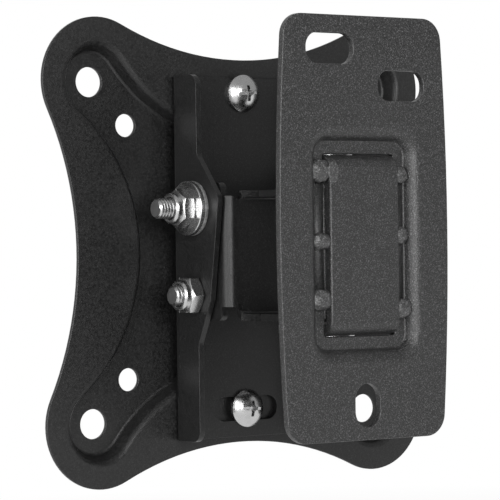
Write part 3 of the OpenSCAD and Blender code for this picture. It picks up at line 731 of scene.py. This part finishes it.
def thread(name, diameter, pitch, start, end, chamfer):
    """A ridge of thread between two heights, pulled in at the chamfered end."""
    crest = diameter / 2
    foot = crest - DEPTH_PER_PITCH * pitch - SUNK
    bpy.ops.object.select_all(action="DESELECT")
    bpy.ops.mesh.primitive_plane_add(size=1 * MM)
    ridge = bpy.context.object
    ridge.name = name
    # The plane's four corners become the section: radius, and height as a share of the pitch.
    section = [(foot, 0.02), (crest, 0.44), (foot, 0.98), (crest, 0.56)]
    for vertex, (radius, share) in zip(ridge.data.vertices, section):
        vertex.co = (radius * MM, 0, (start + share * pitch) * MM)
    only(ridge)
    climb = ridge.modifiers.new("climb", "SCREW")
    climb.axis = "Z"
    climb.angle = 2 * math.pi
    climb.screw_offset = pitch * MM
    climb.iterations = round((end - start) / pitch)
    climb.steps = climb.render_steps = THREAD_STEPS
    climb.use_merge_vertices = False
    climb.use_normal_calculate = True
    bpy.ops.object.modifier_apply(modifier="climb")
    close_up(ridge, 0.0005)
    for vertex in ridge.data.vertices:
        radius = math.hypot(vertex.co.x, vertex.co.y)
        height = min(vertex.co.z, end * MM)
        room = (crest - chamfer) * MM + (end * MM - height)
        if radius > room:
            vertex.co.x *= room / radius
            vertex.co.y *= room / radius
        vertex.co.z = height
    return ridge


# %% [markdown]
# ## Hexagons
#
# The arcs on a nut's corners come from turning a hexagon bar in a lathe. A bevel can't make them,
# so the lathe's way is followed: the bar is a cylinder with six sides, and it is intersected with a
# turned disc whose rim is chamfered, which leaves just those arcs.

# %% Make a hexagon with turned corners
FACE_SHARE = 0.475
CHAMFER_ANGLE = math.radians(30)
HEX_EDGE = 0.12
CREASE = math.radians(24)


def hexagon(name, across_flats, height, both):
    """A hexagon prism on Z = 0 with chamfered corners at the top, or at both ends."""
    corner = across_flats / math.sqrt(3)
    face = across_flats * FACE_SHARE
    cut = (corner - face) * math.tan(CHAMFER_ANGLE)
    bpy.ops.object.select_all(action="DESELECT")
    bpy.ops.mesh.primitive_cylinder_add(
        vertices=6, radius=corner * MM, depth=height * MM, location=(0, 0, height * MM / 2)
    )
    bar = bpy.context.object
    bpy.ops.object.transform_apply(location=True)
    bar.name = name
    # The disc is a hair larger than the bar, so that no two faces of the cut lie in one plane.
    rim, low, high = corner + 0.02, -0.01, height + 0.01
    foot = [(0, low), (face, low), (rim, cut)] if both else [(0, low), (rim, low)]
    disc = turned(name + "_disc", foot + [(rim, height - cut), (face, high), (0, high)], 96)
    boolean(bar, disc, "INTERSECT")
    only(bar)
    round_edges(bar, HEX_EDGE, 2, CREASE)
    bpy.ops.object.shade_smooth_by_angle(angle=SHARP)
    return bar


# %% [markdown]
# ## Locking nuts
#
# A locking nut is a hexagon with a thin round collar on top. The collar is rolled inwards over a
# nylon ring, and that rolled lip shines. Inside the lip lies a dark hollow round the thread. The
# collar is turned as a ring of its own and sunk into the drilled hexagon.

# %% Make the locking nuts
HEX_SHARE = 0.66
COLLAR_SHARE = 0.455
LIP_SHARE = 0.42
DOWN, LEFT = (0, 0, -1), (-1, 0, 0)


def lock_nut(name, node, diameter, across_flats, direction, spin):
    """A drilled hexagon with a rolled collar, in the place of a node."""
    centre, size = node_box(node)
    length = along(size, direction)
    height = length / MM
    shoulder = height * HEX_SHARE
    hole = diameter / 2 + 0.02
    collar = across_flats * COLLAR_SHARE
    lip = (height - shoulder) * LIP_SHARE
    inner = collar - lip * 1.5
    body = hexagon(name, across_flats, shoulder, both=True)
    drill = turned(name + "_drill", [(0, -1), (hole, -1), (hole, height + 1), (0, height + 1)], 48)
    boolean(body, drill, "DIFFERENCE")
    rim = turned(name + "_rim", [
        (inner, shoulder - 0.6), (collar + 0.15, shoulder - 0.6), (collar - 0.1, shoulder + 0.25),
        *arc_points((collar - lip, height - lip), lip, 0, 160, 8),
        (inner, height - lip * 1.7),
    ])
    piece = join(name, body, rim)
    flatten_shading(piece)
    return stand(piece, centre - Vector(direction) * (length / 2), direction, spin)


# Node, thread, width across the flats, body, direction and turn in degrees.
NUTS = [
    ("swivel_nut", 8, 13, "wall", DOWN, 0),
    ("pivot_nut", 6, 10, "swivel", LEFT, 30),
    ("lock_nut", 6, 10, "swivel", LEFT, 0),
]
for node, diameter, across_flats, body, way, spin in NUTS:
    nut = lock_nut(node + "_piece", node, diameter, across_flats, way, spin)
    dress(nut, ZINC, body, node)
print("Locking nuts:", len(NUTS))

# %% [markdown]
# ## Bolts
#
# A bolt is a hexagon head, a plain shank that steps down to the thread's core, and the thread. The
# head and the ridge are joined to the shank as shells of their own. The far end was sawn off, so
# its flat face gets a duller finish than the plating round it.

# %% Make the three bolts
CHAMFERS_PER_DIAMETER = 13
SAWN_DEPTH = 0.1 * MM


def bolt(name, node, diameter, across_flats, head_height, pitch, threaded, direction, spin):
    """A hexagon bolt with a plain shank and a cut thread, in the place of a node."""
    centre, size = node_box(node)
    length = along(size, direction) / MM - head_height
    radius = diameter / 2
    chamfer = diameter / CHAMFERS_PER_DIAMETER
    core = radius - DEPTH_PER_PITCH * pitch
    start = length - threaded
    shank = turned(name + "_shank", [
        (0, -0.5), (radius, -0.5), (radius, start - pitch), (core, start),
        (core, length - 0.2), (core - 0.1, length), (0, length),
    ])
    head = hexagon(name + "_head", across_flats, head_height, both=False)
    head.data.transform(Matrix.Scale(-1, 4, (0, 0, 1)))
    close_up(head)
    ridge = thread(name + "_thread", diameter, pitch, start, length, chamfer)
    piece = join(name, shank, head, ridge)
    only(piece)
    bpy.ops.object.shade_smooth_by_angle(angle=SHARP)
    seat = centre - Vector(direction) * (along(size, direction) / 2 - head_height * MM)
    return stand(piece, seat, direction, spin)


def dull_end(piece, direction):
    """Gives the sawn end of a bolt its rougher finish."""
    way = Vector(direction)
    end = max(vertex.co.dot(way) for vertex in piece.data.vertices)
    piece.data.materials.append(CUT_END)
    for face in piece.data.polygons:
        if face.normal.dot(way) > 0.98 and face.center.dot(way) > end - SAWN_DEPTH:
            face.material_index = 1


# Node, then diameter, width across the flats, head height, pitch and length of the thread,
# then body, direction and turn in degrees.
BOLTS = [
    ("swivel_bolt", (8, 13, 5.3, 1.25, 20), "wall", DOWN, 0),
    ("pivot_bolt", (6, 10, 4, 1, 18), "swivel", LEFT, 30),
    ("lock_bolt", (6, 10, 4, 1, 18), "swivel", LEFT, 0),
]
for node, measures, body, way, spin in BOLTS:
    piece = bolt(node + "_piece", node, *measures, way, spin)
    dress(piece, ZINC, body, node)
    dull_end(piece, way)
print("Bolts:", len(BOLTS))

# %% [markdown]
# ## Screws
#
# A pan head is a low dome with a short straight side. The cross recess is pressed in with a
# pointed punch, so its arms get narrower and meet in a deep centre, and these heads have one long
# shallow slot as well. The punch is made from a cone and three tapered bars, and is cut out of
# the head.

# %% Make a punch for the cross
def cross_punch(width, arm, depth, slot_reach, slot_depth):
    """A pointed cross with one long shallow bar, standing on its tip, whose top is at Z = 0."""
    punch = turned("punch", [(0, -depth * 1.2), (width * 1.1, 0), (width * 1.1, 0.6), (0, 0.6)], 24)
    # Degrees round, half length, depth, and how much of its length a bar keeps at its foot.
    bars = [(0, arm, depth, 0.5), (90, arm, depth, 0.5), (0, slot_reach, slot_depth, 1.0)]
    for turn, reach, deep, kept in bars:
        bpy.ops.object.select_all(action="DESELECT")
        bpy.ops.mesh.primitive_cube_add(size=1)
        bar = bpy.context.object
        for vertex in bar.data.vertices:
            low = vertex.co.z < 0
            vertex.co = (
                vertex.co.x * 2 * reach * MM * (kept if low else 1.06),
                vertex.co.y * width * MM * (0.8 if low else 1.05),
                (-deep if low else 0.55) * MM,
            )
        bar.data.transform(Matrix.Rotation(math.radians(turn), 4, "Z"))
        boolean(punch, bar, "UNION")
    return punch


# %% [markdown]
# The head's outline goes up the straight side and over the dome as an arc. Behind the head stand a
# plain core and the same kind of ridge that the bolts have.

# %% Make the two pan-head screws
HEAD_HEIGHT = 3.9
HEAD_SIDE = 0.9
SCREW_THREAD = 6
SCREW_PITCH = 1
CORE_RADIUS = 2.39


def pan_screw(name, node, spin):
    """A pan-head screw with a pressed cross, in the place of a node."""
    centre, size = node_box(node)
    radius = size.x / MM / 2
    shank = size.y / MM - HEAD_HEIGHT
    rise = HEAD_HEIGHT - HEAD_SIDE
    dome = (radius * radius + rise * rise) / (2 * rise)
    edge = math.degrees(math.asin(radius / dome))
    cap = turned(name + "_head", [
        (0, 0), (radius - 0.15, 0), (radius, 0.15), (radius, HEAD_SIDE - 0.15),
        (radius - 0.07, HEAD_SIDE + 0.12),
        *arc_points((0, HEAD_HEIGHT - dome), dome, 90 - edge * 0.95, 89.9, 12)[:-1],
        (0, HEAD_HEIGHT),
    ], 72)
    punch = cross_punch(width=1.0, arm=2.7, depth=1.9, slot_reach=7, slot_depth=0.6)
    punch.data.transform(Matrix.Translation((0, 0, (HEAD_HEIGHT - 0.2) * MM)))
    boolean(cap, punch, "DIFFERENCE")
    cap.data.transform(Matrix.Rotation(math.radians(spin), 4, "Z"))
    core = turned(name + "_core", [
        (0, 0.2), (CORE_RADIUS, 0.2), (CORE_RADIUS, -shank + 0.2), (2.2, -shank), (0, -shank),
    ])
    ridge = thread(name + "_thread", SCREW_THREAD, SCREW_PITCH, 0.3, shank, 0.6)
    ridge.data.transform(Matrix.Rotation(math.pi, 4, "X"))
    piece = join(name, cap, core, ridge)
    only(piece)
    bpy.ops.object.shade_smooth_by_angle(angle=CREASE)
    seat = Vector((centre.x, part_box(node)[1].y - shank * MM, centre.z))
    return stand(piece, seat, (0, -1, 0))


SCREWS = [("top_screw", 4), ("bottom_screw", -3)]
for node, spin in SCREWS:
    dress(pan_screw(node + "_piece", node, spin), ZINC, "screen", node)
print("Screws:", len(SCREWS))

# %% [markdown]
# ## Weld beads
#
# The wall bracket's web was tacked to the ledge at six places. A bead is a lump that ran and
# froze, so no two are alike. They could be sculpted by hand, but a rule is easier to repeat: each
# starts as a ball, is made squarer and stretched, and every point is then moved in or out by a
# smooth noise that is the same on every run.

# %% Make a bead
SQUARENESS = 2.3
LUMPS, LUMP_SIZE = 0.13, 1.6
RIPPLES, RIPPLE_SIZE = 0.05, 4
WALL_GAP = 0.03


def weld_bead(index, centre, size):
    """A lump of weld metal, with its centre and size in millimetres."""
    bpy.ops.object.select_all(action="DESELECT")
    bpy.ops.mesh.primitive_ico_sphere_add(subdivisions=5, radius=1)
    bead = bpy.context.object
    # The index takes each bead to another part of the noise.
    for vertex in bead.data.vertices:
        way = vertex.co.normalized()
        square = sum(abs(part) ** SQUARENESS for part in way) ** (1 / SQUARENESS)
        swell = 1 + LUMPS * noise.noise(way * LUMP_SIZE + Vector((index * 3.1, 0, 0)))
        swell += RIPPLES * noise.noise(way * RIPPLE_SIZE + Vector((0, index * 2.3, 0)))
        shape = Vector((way.x * size[0], way.y * size[1], way.z * size[2])) / 2 * swell / square
        spot = shape + Vector(centre)
        spot.y = max(spot.y, WALL_GAP)
        vertex.co = spot * MM
    return bead


# %% [markdown]
# Three beads lie on each side of the web. Between them runs the seam: a thin root of weld in the
# corner, and a thin, darker and smoother layer on the ledge, which is painted shade for the shade
# that falls there between the beads. A flat splash of weld stuck to the web beside the upper left
# bead. All of these are one piece, with the dark layer's faces in a painted-shade finish of their
# own.

# %% Make the beads and the seam
# Side, distance out from the web and up from its middle, width and length in millimetres.
BEADS = [
    (-1, 2.3, 21.0, 7.2, 6.2), (-1, 2.3, 1.2, 7.0, 4.8), (-1, 2.3, -15.3, 7.2, 6.0),
    (1, 1.3, 19.9, 5.6, 5.4), (1, 1.3, 2.6, 5.4, 5.2), (1, 1.9, -18.4, 6.4, 6.0),
]
BEAD_DEPTH, BEAD_THICKNESS = 2.4, 4.5
ROOT_RADIUS, ROOT_LENGTH = 0.4, 44
# Size of the thin layer of painted shade on the ledge, in millimetres.
SHADE_FILM_SIZE = (3.1, 0.1, 36)


def metres(*values):
    """Turns lengths in millimetres into metres."""
    return [value * MM for value in values]


web_low, web_high = (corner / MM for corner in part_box("wall_bracket"))
web_side, web_middle = web_high.x, (web_low.z + web_high.z) / 2
welds = []
for side, out, rise, width, length in BEADS:
    centre = (side * (web_side + out), BEAD_DEPTH, web_middle + rise)
    welds.append(weld_bead(len(welds), centre, (width, BEAD_THICKNESS, length)))
splash = (-web_side + 1.2, 0.34, web_middle + 20.6)
welds.append(weld_bead(len(welds), splash, (3.6, 0.45, 6.0)))

for side in (-1, 1):
    root = metres(side * (web_side + 0.15), 3.55, web_middle + 1.5)
    # Where the thin layer of painted shade lies on the ledge.
    shade_film = metres(side * (web_side + 1.9), 3.27, web_middle + 2)
    bpy.ops.object.select_all(action="DESELECT")
    bpy.ops.mesh.primitive_cylinder_add(
        vertices=12, radius=ROOT_RADIUS * MM, depth=ROOT_LENGTH * MM, location=root
    )
    bpy.ops.object.transform_apply(location=True)
    welds.append(bpy.context.object)
    bpy.ops.mesh.primitive_cube_add(size=1, location=shade_film, scale=metres(*SHADE_FILM_SIZE))
    bpy.ops.object.transform_apply(location=True, scale=True)
    welds.append(bpy.context.object)
weld = join("weld_beads_piece", *welds)
only(weld)
bpy.ops.object.shade_smooth()
dress(weld, WELD_COAT, "wall", "weld_beads")
weld.data.materials.append(PAINTED_SHADE_COAT)
# The painted-shade layer's faces are the only ones this far out that look straight at the wall.
for face in weld.data.polygons:
    if face.normal.y < -0.98 and face.center.y > 3 * MM:
        face.material_index = 1
print("Beads:", len(BEADS))
